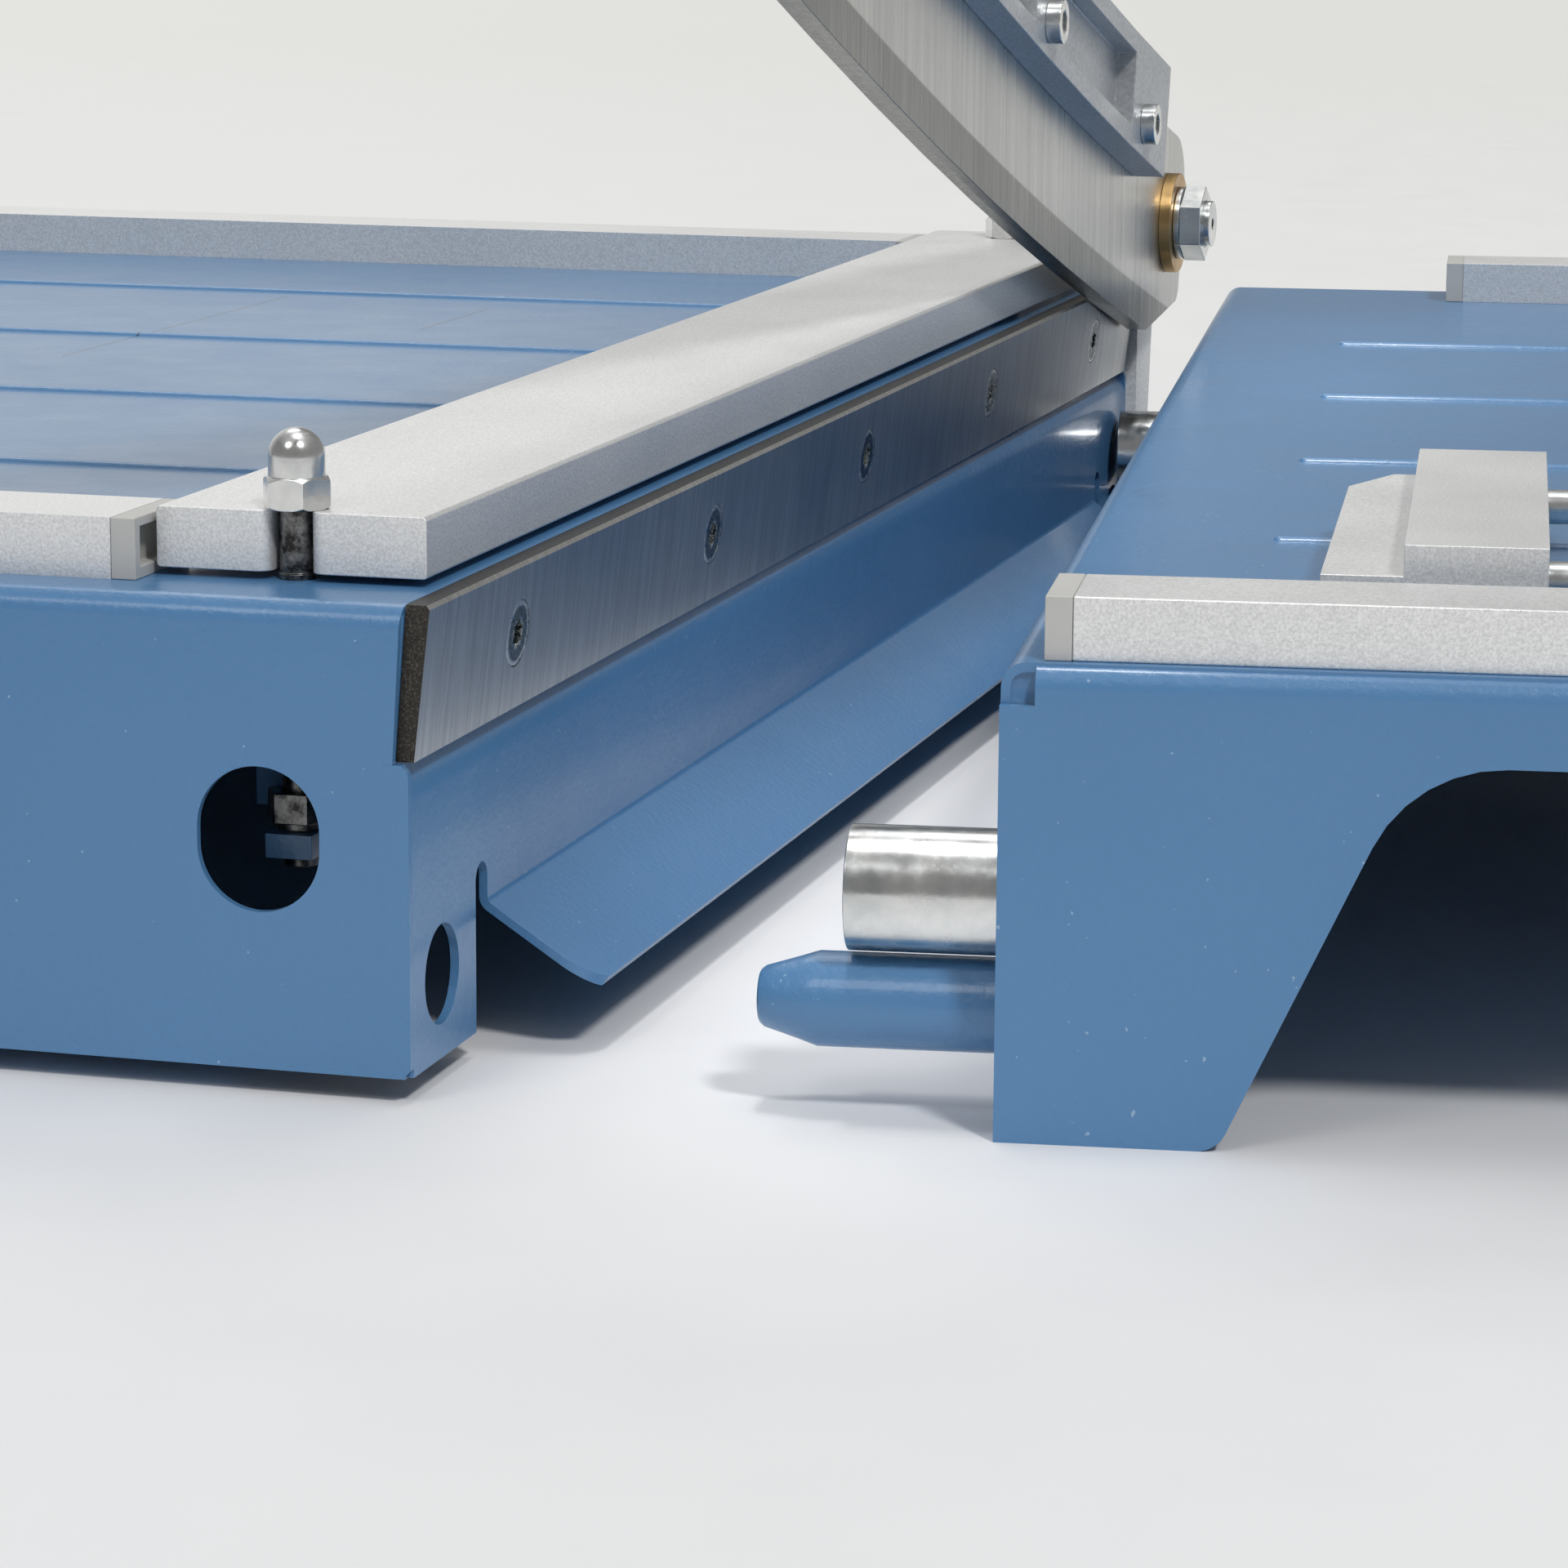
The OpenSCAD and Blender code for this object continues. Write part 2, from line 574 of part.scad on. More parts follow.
module handle_bracket() color(alu) on_arm() difference() {
  union() {
    along_x(rail_x + rail_t + 0.02, rail_x + rail_t + 6) polygon(concat(
      bow_line(-548, rail_y[1], 3), bow_line(rail_y[1], -548, 30)));
    translate([handle_x, 0, handle_z]) rotate([90, 0, 0]) translate([0, 0, -rail_y[1] + 0.02])
      cylinder(h = 20, d = 22);
    box([rail_x + rail_t + 0.02, rail_y[1] - 15, handle_z - 8], [rail_x + rail_t + 6, rail_y[1] + 5,
        handle_z + 8]);
  }
  translate([handle_x, 0, handle_z]) rotate([90, 0, 0]) translate([0, 0, 2 - rail_y[1]])
      cylinder(h = 20, d = 10.05);
  for (y = [-560, -590]) translate([0, y, 16 + bow(y)]) rod_x(0, 40, 6.1);
}
module handle_bracket_screws() color(zinc) on_arm() for (y = [-560, -590])
  translate([rail_x + rail_t + 6.02, y, 16 + bow(y)]) rotate([0, 90, 0]) socket_screw(10, 3.4, 6, 5.9);
module knife_screws() color(zinc) on_arm() for (y = rail_screw_y)
  translate([rail_x + rail_t + 0.02, y, 12 + bow(y)]) rotate([0, 90, 0]) socket_screw(10, 3.4, 6, 12.9);
module arm_bush() color(bronze) on_arm() difference() {
  union() {
    rod_x(knife_x + 0.1, rail_x + boss_t, pivot_d + 4);
    rod_x(rail_x, rail_x + boss_t, 26);
  }
  rod_x(0, 30, pivot_d + 2 * running);
}
module handle_tube() color(zinc) on_arm() translate([handle_x, 0, handle_z]) rotate([90, 0, 0])
  translate([0, 0, 2.1 - rail_y[1]]) cylinder(h = 150, d = 10);
module handle_grip() color(dark) on_arm() translate([handle_x, 0, handle_z]) rotate([90, 0, 0])
  translate([0, 0, 20.3 - rail_y[1]]) rotate_extrude() polygon([
    [5.05, 0], [11, 0], [13, 2], [14, 30], [15.5, 60], [15.5, 90], [14, 122], [5.05, 122]
  ]);
module grip_end_cap() color(dark) on_arm() translate([handle_x, 0, handle_z]) rotate([90, 0, 0])
  translate([0, 0, 142.4 - rail_y[1]]) difference() {
    intersection() {
      cylinder(h = 12, d = 27);
      translate([0, 0, -9]) sphere(20);
    }
    translate([0, 0, -1]) cylinder(h = 11, d = 10.1);
  }

// ---- Back gauge ----
module gauge_bar() color(alu) at_datum()
  box([gauge_x, ruler_y + ruler_d + 1.5, table_h + 1.4], [gauge_x + 15, 524, table_h + 11.4]);
module gauge_shoe() color(alu) at_datum() difference() {
  union() {
    box([gauge_x - 8, 7, table_h + 11.45], [gauge_x + 23, 56, table_h + 17]);
    box([gauge_x - 8, 7, table_h + 4], [gauge_x + 23, 11, table_h + 17]);
  }
  translate([gauge_x + 7.5, 22.7, table_h]) cylinder(h = 20, d = 6.1);
  for (x = [3.5, 11.5]) translate([gauge_x + x, 48, table_h]) cylinder(h = 20, d = 4.1);
}
module gauge_shoe_screws() color(zinc) at_datum() for (x = [3.5, 11.5])
  translate([gauge_x + x, 48, table_h + 17.02]) socket_screw(7, 2.6, 4, 5.5);
module gauge_knob() color(dark) at_datum() translate([gauge_x + 7.5, 22.7, table_h + 17.3]) difference() {
  union() {
    cylinder(h = 5, d = 14);
    translate([0, 0, 5]) star_knob(30, 11);
  }
  translate([0, 0, -cut_eps]) cylinder(h = 10, d = 6.05);
}
module gauge_knob_stud() color(zinc) at_datum() translate([gauge_x + 7.5, 22.7, table_h + 11.6])
  cylinder(h = 14.5, d = 6);

// ---- Front table, in its own frame: origin at its front left corner on the bench ----
// Cut-out in the front and rear skirts, with the feet of the legs rounded
module arch() {
  top = arch_z;
  wide = front_w - leg_w;
  polygon(concat(
    [[leg_w - 9, -1]],
    rounded_path([
      [leg_w - 9, 0], [leg_w, 0], [leg_w + leg_slope * top, top], [wide - leg_slope * top, top],
      [wide, 0], [wide + 9, 0]
    ], [leg_r, arch_r, arch_r, leg_r]),
    [[wide + 9, -1]]));
}
// The closed end of a side bend, dished, in the notch between two folded flanges
module bend_end(x, y, facing) translate([x, y, front_h - curl_r]) scale([1, facing, 1]) rotate([-90, 0, 0])
  difference() {
    cylinder(h = 4.2, r = curl_r);
    translate([0, 0, -5.4]) sphere(6.4);
  }
module front_table_sheet() color(blue) on_front_table() {
  t = sheet_t;
  rim = front_h - notch_h + 0.02;
  top = front_h - t / 2;
  hoop_y = rounded_path([[t / 2, 0], [t / 2, top], [front_l - t / 2, top], [front_l - t / 2, 0]],
      [bend_r, bend_r]);
  hoop_x = rounded_path([[t / 2, rim], [t / 2, top], [front_w - t / 2, top], [front_w - t / 2, rim]],
    [bend_r, bend_r]);
  difference() {
    union() {
      along_x(notch_w, front_w - notch_w) polygon(ribbon(hoop_y, t));
      along_y(t + 0.5, front_l - t - 0.5) polygon(ribbon(hoop_x, t));
      for (x = [curl_r, front_w - curl_r]) {
        bend_end(x, t + 0.5, 1);
        bend_end(x, front_l - t - 0.5, -1);
      }
      for (y = [0, front_l - t]) box([0, y, 0], [front_w, y + t, front_h - notch_h]);
      for (i = [0:3]) rib(front_rib_x, front_w - 14, front_rib_first_y + i * 105.8, front_h);
    }
    for (y = [-cut_eps, front_l - t - 0.01]) along_y(y, y + t + cut_eps + 0.01) arch();
    for (x = front_screw_x, y = [front_ruler_y, rear_ruler_y])
      translate([x, y + ruler_d / 2, front_h - 3]) cylinder(h = 4, d = 4.3);
    for (p = bearing_screw_xy) translate([p.x, p.y, front_h - 3]) cylinder(h = 6, d = 4.2);
  }
}
module front_table_side_walls() color(blue) on_front_table() difference() {
  for (x = [0, front_w - sheet_t])
    box([x, sheet_t + 0.02, 0], [x + sheet_t, front_l - sheet_t - 0.02, front_h - notch_h]);
  for (y = plug_y) translate([-cut_eps, y - front_y, 0]) {
    translate([0, 0, spacer_z]) rod_x(0, 5, spacer_d + 0.1);
    translate([0, 0, plug_z]) rod_x(0, 5, plug_pin_d + 0.1);
  }
}
module spacer_tubes() color(zinc) on_front_table() for (y = plug_y)
  translate([0, y - front_y, spacer_z]) difference() {
    rod_x(-spacer_out, plug_in, spacer_d);
    rod_x(-spacer_out - cut_eps, plug_in + cut_eps, spacer_d - 3.4);
  }
module plug_pins() color(blue) on_front_table() for (y = plug_y) translate([0, y - front_y, plug_z])
  rotate([0, -90, 0]) rotate_extrude() polygon([
    [0, -plug_in], [plug_pin_d / 2, -plug_in], [plug_pin_d / 2, pin_out - 9.5],
    [4.9, pin_out - 1], [4.1, pin_out], [0, pin_out]
  ]);
module plug_brackets() color(blue) on_front_table() for (y = [plug_y[0] - front_y, plug_y[1] - front_y])
  box([plug_in + 0.05, y - 12.5, 5], [plug_in + 3, y + 12.5, front_h - sheet_t - 0.05]);
module front_table_front_ruler() color(alu) on_front_table() difference() {
  ruler(front_cap_x + ruler_cap_l, 240, front_ruler_y, front_h);
  for (x = front_screw_x) translate([x, front_ruler_y + ruler_d / 2, front_h - 1]) cylinder(h = 4, d = 4.1);
}
module front_table_rear_ruler() color(alu) on_front_table() difference() {
  ruler(rear_cap_x + ruler_cap_l, 240, rear_ruler_y, front_h);
  for (x = front_screw_x) translate([x, rear_ruler_y + ruler_d / 2, front_h - 1]) cylinder(h = 4, d = 4.1);
}
module front_table_end_caps() color(cap_grey) on_front_table() {
  ruler_cap(front_cap_x + ruler_cap_l - 0.05, front_ruler_y, front_h, -1);
  ruler_cap(rear_cap_x + ruler_cap_l - 0.05, rear_ruler_y, front_h, -1);
  for (y = [front_ruler_y, rear_ruler_y]) ruler_cap(240.05, y, front_h, 1);
}
module front_table_ruler_screws() color(zinc) on_front_table()
  for (x = front_screw_x, y = [front_ruler_y, rear_ruler_y])
    translate([x, y + ruler_d / 2, front_h - sheet_t - 0.02]) mirror([0, 0, 1])
      socket_screw(7, 2.8, 4, 5);

// ---- Narrow-cut stop ----
bearing_screw_xy = [for (x = [bearing_x + 6, bearing_x + bearing_w - 6], y = [66, 108]) [x, y]];
module stop_bearing() color(alu) on_front_table() difference() {
  box([bearing_x, 37, front_h + 0.05], [bearing_x + bearing_w, 137, front_h + 16]);
  box([bearing_x - cut_eps, 130, front_h - cut_eps], [bearing_x + bearing_w + cut_eps, 137 + cut_eps,
      front_h + 1.2]);
  for (y = rod_y) translate([bearing_x, y, rod_z]) rod_x(-1, bearing_w + 1, rod_d + 2 * running);
  for (p = bearing_screw_xy) translate([p.x, p.y, front_h]) cylinder(h = 12, d = 4.1);
  translate([bearing_x + bearing_w / 2, 87, front_h + 6]) cylinder(h = 20, d = 6.1);
}
module stop_bearing_screws() color(zinc) on_front_table() for (p = bearing_screw_xy)
  translate([p.x, p.y, front_h - sheet_t - 0.02]) mirror([0, 0, 1]) socket_screw(7, 2.8, 4, 10);
module stop_block() color(alu) on_front_table() difference() {
  union() {
    translate([0, 0, stop_z]) linear_extrude(8.4)
      polygon([[46.5, stop_y], [47.5, stop_y + 101], [55, stop_y + stop_l], [62, stop_y + stop_l], [62,
          stop_y]]);
    box([59.5, stop_y, stop_z], [82, stop_y + stop_l - 2, stop_z + 13.4]);
  }
  for (y = rod_y) translate([70, y, rod_z]) rod_x(0, 20, rod_d + 0.05);
}
module stop_guide_rods() color(steel) on_front_table()
  for (y = rod_y) translate([0, y, rod_z]) rod_x(70.05, end_bar_x + 11.9, rod_d);
module stop_end_bar() color(alu) on_front_table() difference() {
  box([end_bar_x, 37, stop_z], [end_bar_x + 12, 137, stop_z + 13.4]);
  for (y = rod_y) translate([end_bar_x - 1, y, rod_z]) rod_x(0, 20, rod_d + 0.05);
  for (y = rod_y) translate([end_bar_x + 6, y, rod_z + rod_d / 2]) cylinder(h = 20, d = 4.1);
}
module stop_end_bar_screws() color(zinc) on_front_table()
  for (y = rod_y) translate([end_bar_x + 6, y, stop_z + 13.42]) socket_screw(7, 2.6, 4, 3.2);
module stop_lock_knob() color(dark) on_front_table()
  translate([bearing_x + bearing_w / 2, 87, front_h + 16.3]) difference() {
    union() {
      cylinder(h = 4, d = 13);
      translate([0, 0, 4]) star_knob(26, 10);
    }
    translate([0, 0, -cut_eps]) cylinder(h = 8, d = 6.05);
  }
module stop_lock_stud() color(zinc) on_front_table()
  translate([bearing_x + bearing_w / 2, 87, front_h + 8.5]) cylinder(h = 14, d = 6);

table_housing();
table_left_wall();
table_bottom_flanges();
cutting_side_wall();
rubber_feet();
foot_screws();
counter_blade();
counter_blade_screws();
blade_support_bar();
front_ruler();
rear_ruler();
ruler_end_caps();
ruler_screws();
clamp_studs();
cap_nuts();
stud_bracket();
stud_lock_nuts();
lift_pin_guide();
pivot_bracket();
pivot_bracket_screws();
pivot_bracket_nuts();
pivot_bolt();
pivot_washers();
pivot_nut();
clamp_bar();
lift_pins();
lift_springs();
upper_knife();
knife_rail();
knife_screws();
handle_bracket();
handle_bracket_screws();
arm_bush();
handle_tube();
handle_grip();
grip_end_cap();
gauge_bar();
gauge_shoe();
gauge_shoe_screws();
gauge_knob();
gauge_knob_stud();
front_table_sheet();
front_table_side_walls();
spacer_tubes();
plug_pins();
plug_brackets();
front_table_front_ruler();
front_table_rear_ruler();
front_table_end_caps();
front_table_ruler_screws();
stop_bearing();
stop_bearing_screws();
stop_block();
stop_guide_rods();
stop_end_bar();
stop_end_bar_screws();
stop_lock_knob();
stop_lock_stud();
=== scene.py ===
import json
import math
import bpy
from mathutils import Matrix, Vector


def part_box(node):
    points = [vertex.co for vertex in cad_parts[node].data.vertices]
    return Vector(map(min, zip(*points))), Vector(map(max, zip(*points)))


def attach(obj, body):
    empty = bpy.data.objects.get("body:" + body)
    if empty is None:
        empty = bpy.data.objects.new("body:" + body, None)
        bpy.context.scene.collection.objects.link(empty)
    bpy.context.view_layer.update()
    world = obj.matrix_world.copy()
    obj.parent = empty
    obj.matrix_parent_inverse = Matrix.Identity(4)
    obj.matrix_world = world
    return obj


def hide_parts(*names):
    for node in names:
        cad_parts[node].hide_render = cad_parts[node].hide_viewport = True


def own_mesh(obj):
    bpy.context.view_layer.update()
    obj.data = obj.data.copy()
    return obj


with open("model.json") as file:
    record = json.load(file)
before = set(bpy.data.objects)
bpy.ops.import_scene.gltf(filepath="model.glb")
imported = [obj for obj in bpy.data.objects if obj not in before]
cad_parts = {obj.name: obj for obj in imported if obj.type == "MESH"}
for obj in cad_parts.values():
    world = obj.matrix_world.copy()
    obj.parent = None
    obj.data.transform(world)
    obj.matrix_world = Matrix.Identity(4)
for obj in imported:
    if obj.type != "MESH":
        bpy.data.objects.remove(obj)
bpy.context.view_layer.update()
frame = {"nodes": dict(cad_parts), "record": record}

# Looks for the lever sheet cutter, in metres, in the CAD's own frame.

NODES = frame["nodes"]
SLOT_OF = {s["node"]: s["material_slot"] for s in frame["record"]["subparts"]}
MM = 0.001


def frame_joint(name):
    """A joint of the assembly, from the record."""
    return next(joint for joint in frame["record"]["behaviour"]["joints"] if joint["name"] == name)


table_low, table_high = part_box("table_housing")
TABLE_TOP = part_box("front_ruler")[0][2]
# Printed lines on the table: their place across it, then from where to where along the cut
FORMAT_LINES = [(table_high[0] - 0.188, table_low[1] + 0.298, table_low[1] + 0.435),
                (table_high[0] - 0.131, table_low[1] + 0.374, table_low[1] + 0.424)]
FORMAT_LINE_HALF = 0.35 * MM
FORMAT_LINE_STRENGTH = 0.75


# ---- Node building ----
class Shader:
    """A procedural material: a Principled shader and the textures that drive it."""

    def __init__(self, name, colour, metallic=0.0, roughness=0.4):
        self.mat = bpy.data.materials.new(name)
        self.mat.use_nodes = True
        self.nodes = self.mat.node_tree.nodes
        self.links = self.mat.node_tree.links
        self.bsdf = self.nodes["Principled BSDF"]
        self.bsdf.inputs["Base Color"].default_value = (*colour, 1)
        self.bsdf.inputs["Metallic"].default_value = metallic
        self.bsdf.inputs["Roughness"].default_value = roughness
        self.place = self.nodes.new("ShaderNodeTexCoord").outputs["Object"]
        self.normal = None

    def put(self, socket, value):
        self.bsdf.inputs[socket].default_value = value
        return self

    def link(self, out, socket):
        self.links.new(out, self.bsdf.inputs[socket])

    def noise(self, per_metre, detail=2.0, rough=0.5):
        """Noise with a feature count per metre along X, Y and Z."""
        mapping = self.nodes.new("ShaderNodeMapping")
        scale = per_metre if isinstance(per_metre, tuple) else (per_metre,) * 3
        mapping.inputs["Scale"].default_value = scale
        self.links.new(self.place, mapping.inputs["Vector"])
        tex = self.nodes.new("ShaderNodeTexNoise")
        tex.inputs["Scale"].default_value = 1.0
        tex.inputs["Detail"].default_value = detail
        tex.inputs["Roughness"].default_value = rough
        self.links.new(mapping.outputs["Vector"], tex.inputs["Vector"])
        return tex.outputs["Fac"]

    def remap(self, fac, low, high, start=0.3, end=0.7):
        node = self.nodes.new("ShaderNodeMapRange")
        for key, value in (("From Min", start), ("From Max", end), ("To Min", low), ("To Max", high)):
            node.inputs[key].default_value = value
        self.links.new(fac, node.inputs["Value"])
        return node.outputs["Result"]

    def math(self, operation, a, b=0.0, c=0.0):
        node = self.nodes.new("ShaderNodeMath")
        node.operation = operation
        for i, value in enumerate((a, b, c)):
            if isinstance(value, (int, float)):
                node.inputs[i].default_value = value
            else:
                self.links.new(value, node.inputs[i])
        return node.outputs["Value"]

    def within(self, value, middle, half):
        """1 where value is less than half away from middle."""
        return self.math("LESS_THAN", self.math("ABSOLUTE", self.math("SUBTRACT", value, middle)), half)

    def axes(self):
        node = self.nodes.new("ShaderNodeSeparateXYZ")
        self.links.new(self.place, node.inputs["Vector"])
        return node.outputs

    def mix(self, fac, a, b):
        node = self.nodes.new("ShaderNodeMix")
        node.data_type = "RGBA"
        self.links.new(fac, node.inputs["Factor"])
        for key, value in ((6, a), (7, b)):
            if isinstance(value, tuple):
                node.inputs[key].default_value = (*value, 1)
            else:
                self.links.new(value, node.inputs[key])
        return node.outputs[2]

    def object_normal(self):
        node = self.nodes.new("ShaderNodeSeparateXYZ")
        coordinates = self.nodes.new("ShaderNodeTexCoord")
        self.links.new(coordinates.outputs["Normal"], node.inputs["Vector"])
        return node.outputs

    def ground_colour(self, colour, across):
        fine = self.noise(across, 3, 0.7)
        coarse = self.noise(tuple(a * 0.3 for a in across), 2)
        streak = self.math("MULTIPLY_ADD", coarse, 0.45, self.math("MULTIPLY", fine, 0.55))
        light = tuple(min(1, c * 1.16) for c in colour)
        dark = tuple(c * 0.82 for c in colour)
        return self.mix(self.remap(streak, 0, 1, 0.38, 0.62), dark, light)

    def ground(self, colour, across, rough):
        """Grinding marks on colour, roughness and bump; gives back the colour."""
        shade = self.ground_colour(colour, across)
        self.link(shade, "Base Color")
        fine = self.noise(across, 3, 0.7)
        cloud = self.noise(14.0, 3)
        self.link(self.math("ADD", self.remap(fine, *rough), self.remap(cloud, -0.03, 0.03)), "Roughness")
        self.bump(fine, 0.010 * MM, 0.6)
        self.put("Anisotropic", 0.4)
        return shade

    def format_lines(self):
        """Two printed size lines that run along the cut on the table surface."""
        place = self.axes()
        on_top = self.math("GREATER_THAN", place[2], TABLE_TOP - 0.4 * MM)
        found = None
        for x, y0, y1 in FORMAT_LINES:
            near = self.within(place[0], x, FORMAT_LINE_HALF)
            run = self.within(place[1], (y0 + y1) / 2, (y1 - y0) / 2)
            line = self.math("MULTIPLY", self.math("MULTIPLY", near, run), on_top)
            found = line if found is None else self.math("MAXIMUM", found, line)
        return self.math("MULTIPLY", found, FORMAT_LINE_STRENGTH)

    def bump(self, height, depth, strength=1.0):
        node = self.nodes.new("ShaderNodeBump")
        node.inputs["Distance"].default_value = depth
        node.inputs["Strength"].default_value = strength
        self.links.new(height, node.inputs["Height"])
        if self.normal is not None:
            self.links.new(self.normal, node.inputs["Normal"])
        self.normal = node.outputs["Normal"]
        self.link(self.normal, "Normal")
        return self


def powder_coat(name="powder coat", lines=False):
    """Blue stoving enamel with an orange-peel skin and a few dust specks; format lines for the main table."""
    s = Shader(name, (0.09, 0.215, 0.40), 0.0, 0.34)
    patch = s.noise(9.0, 3)
    base = s.mix(s.remap(patch, 0, 1), (0.072, 0.200, 0.395), (0.086, 0.228, 0.440))
    speck = s.remap(s.noise(750.0, 1.0), 0, 0.55, 0.765, 0.80)
    base = s.mix(speck, base, (0.40, 0.55, 0.70))
    if lines:
        base = s.mix(s.format_lines(), base, (0.02, 0.05, 0.10))
    s.link(base, "Base Color")
    s.link(s.remap(s.noise(60.0, 4), 0.30, 0.40), "Roughness")
    s.put("Coat Weight", 0.35).put("Coat Roughness", 0.13)
    s.bump(s.noise(520.0, 3.0, 0.6), 0.22 * MM, 1.0)
    s.bump(s.noise(1900.0, 1.0), 0.016 * MM, 0.6)
    return s.mat


def blasted(name, colour, grain=2100.0, depth=0.075, metallic=0.5):
    """Blasted or cast metal: fine grain with a depth in millimetres, in colour and bump."""
    s = Shader(name, colour, metallic, 0.42)
    speck = s.noise(grain, 2.5, 0.65)
    light = tuple(min(1, c * 1.12) for c in colour)
    dark = tuple(c * 0.86 for c in colour)
    s.link(s.mix(s.remap(speck, 0, 1, 0.36, 0.64), dark, light), "Base Color")
    s.link(s.remap(s.noise(35.0, 3), 0.34, 0.44), "Roughness")
    s.bump(speck, depth * MM, 1.0)
    s.bump(s.noise(grain * 0.45, 1), depth * 0.6 * MM, 0.7)
    return s.mat


def counter_blade():
    """Cross-ground face, dark rough end and a dark speckled top strip."""
    s = Shader("cross-ground blade", (0.30, 0.30, 0.29), 1.0, 0.3)
    face = s.ground((0.58, 0.58, 0.565), (900, 2600, 26), (0.30, 0.44))
    speck = s.noise(2600.0, 3, 0.7)
    dark = s.mix(s.remap(speck, 0, 1, 0.48, 0.76), (0.022, 0.019, 0.015), (0.12, 0.11, 0.095))
    out = s.object_normal()
    end = s.math("GREATER_THAN", s.math("MULTIPLY", out[1], -1.0), 0.8)
    top = s.math("GREATER_THAN", out[2], 0.6)
    away = s.math("MAXIMUM", end, top)
    s.link(s.mix(away, face, dark), "Base Color")
    s.link(s.math("MULTIPLY_ADD", away, -0.55, 1.0), "Metallic")
    return s.mat


def knife_steel():
    """Ground knife with a darker bevel strip that follows the bowed cutting edge."""
    s = Shader("ground knife", (0.58, 0.58, 0.56), 1.0, 0.3)
    face = s.ground((0.56, 0.56, 0.545), (900, 1500, 30), (0.24, 0.38))
    strip = s.ground_colour((0.235, 0.238, 0.225), (900, 2400, 30))
    raised = math.radians(KNIFE_RAISE)
    place = s.axes()
    y = s.math("SUBTRACT", place[1], PIVOT[1])
    z = s.math("SUBTRACT", place[2], PIVOT[2])
    c, sn = math.cos(raised), math.sin(raised)
    along = s.math("SUBTRACT", s.math("MULTIPLY", y, c), s.math("MULTIPLY", z, sn))
    up = s.math("ADD", s.math("MULTIPLY", y, sn), s.math("MULTIPLY", z, c))
    bow = s.math("MULTIPLY", s.math("MULTIPLY", along, along), 0.5 / EDGE_BOW)
    edge = s.math("SUBTRACT", s.math("ADD", up, EDGE_DROP), bow)
    s.link(s.mix(s.remap(edge, 1, 0, BEVEL - BEVEL_BLEND, BEVEL + BEVEL_BLEND), face, strip), "Base Color")
    return s.mat


def plated():
    """Bright zinc plating with cloudy patches."""
    s = Shader("bright zinc", (0.72, 0.74, 0.74), 1.0, 0.2)
    cloud = s.noise(90.0, 5, 0.65)
    s.link(s.mix(s.remap(cloud, 0, 1, 0.36, 0.64), (0.60, 0.62, 0.62), (0.80, 0.80, 0.78)), "Base Color")
    s.link(s.remap(s.noise(260.0, 4), 0.14, 0.30), "Roughness")
    s.bump(s.noise(420.0, 3, 0.6), 0.03 * MM, 0.6)
    s.bump(s.noise(1900.0, 2), 0.01 * MM, 0.6)
    return s.mat


def oiled():
    """Dark steel under a film of oil and grime."""
    s = Shader("oiled steel", (0.16, 0.16, 0.16), 1.0, 0.3)
    grime = s.noise(260.0, 4, 0.65)
    s.link(s.mix(s.remap(grime, 0, 1, 0.42, 0.6), (0.03, 0.03, 0.03), (0.26, 0.26, 0.255)), "Base Color")
    s.link(s.remap(grime, 0.18, 0.42), "Roughness")
    s.bump(grime, 0.12 * MM, 0.6)
    return s.mat


def plastic(name, colour, rough, grain=900.0, depth=0.03):
    """Moulded plastic or rubber with a fine skin, its depth in millimetres."""
    s = Shader(name, colour, 0.0, rough)
    tone = s.noise(45.0, 3)
    light = tuple(min(1, c * 1.06) for c in colour)
    s.link(s.mix(s.remap(tone, 0, 1), tuple(c * 0.94 for c in colour), light), "Base Color")
    s.link(s.remap(s.noise(120.0, 3), rough - 0.05, rough + 0.07), "Roughness")
    s.bump(s.noise(grain, 2), depth * MM, 0.6)
    return s.mat


def bronze():
    """Bush metal with turning marks round the pivot's line."""
    s = Shader("bearing bronze", (0.55, 0.36, 0.16), 1.0, 0.35)
    s.link(s.remap(s.noise(200.0, 4), 0.28, 0.45), "Roughness")
    s.bump(s.noise((900.0, 90.0, 90.0), 2), 0.02 * MM, 0.5)
    return s.mat


def blade_screw():
    """Countersunk screws: a light turned rim round a dark plated face with a bright worn star."""
    s = Shader("blade screw", (0.20, 0.24, 0.25), 1.0, 0.25)
    place = s.axes()
    step = s.math("DIVIDE", s.math("SUBTRACT", place[1], SCREW_Y), SCREW_PITCH)
    off = s.math("MULTIPLY", s.math("SUBTRACT", step, s.math("ROUND", step)), SCREW_PITCH)
    rise = s.math("SUBTRACT", place[2], SCREW_Z)
    reach = s.math("SQRT", s.math("ADD", s.math("MULTIPLY", off, off), s.math("MULTIPLY", rise, rise)))
    speck = s.remap(s.noise(1500.0, 3, 0.7), 0, 1, 0.44, 0.60)
    star = s.math("MULTIPLY", s.remap(reach, 1, 0, *STAR_R), speck)
    face = s.mix(star, (0.085, 0.125, 0.135), (0.80, 0.80, 0.77))
    s.link(s.mix(s.remap(reach, 0, 1, *RIM_R), face, (0.80, 0.80, 0.77)), "Base Color")
    s.link(s.remap(s.noise(700.0, 3), 0.18, 0.36), "Roughness")
    s.bump(speck, 0.06 * MM, 0.7)
    return s.mat


# The knife's angle at rest, its pivot, the depth and bow of its edge and the width of its bevel
KNIFE_RAISE = 13.2
PIVOT = frame_joint("knife_swing")["pos_m"]
EDGE_DROP = 0.031
EDGE_BOW = 4.2
BEVEL = 0.0095
BEVEL_BLEND = 0.3 * MM

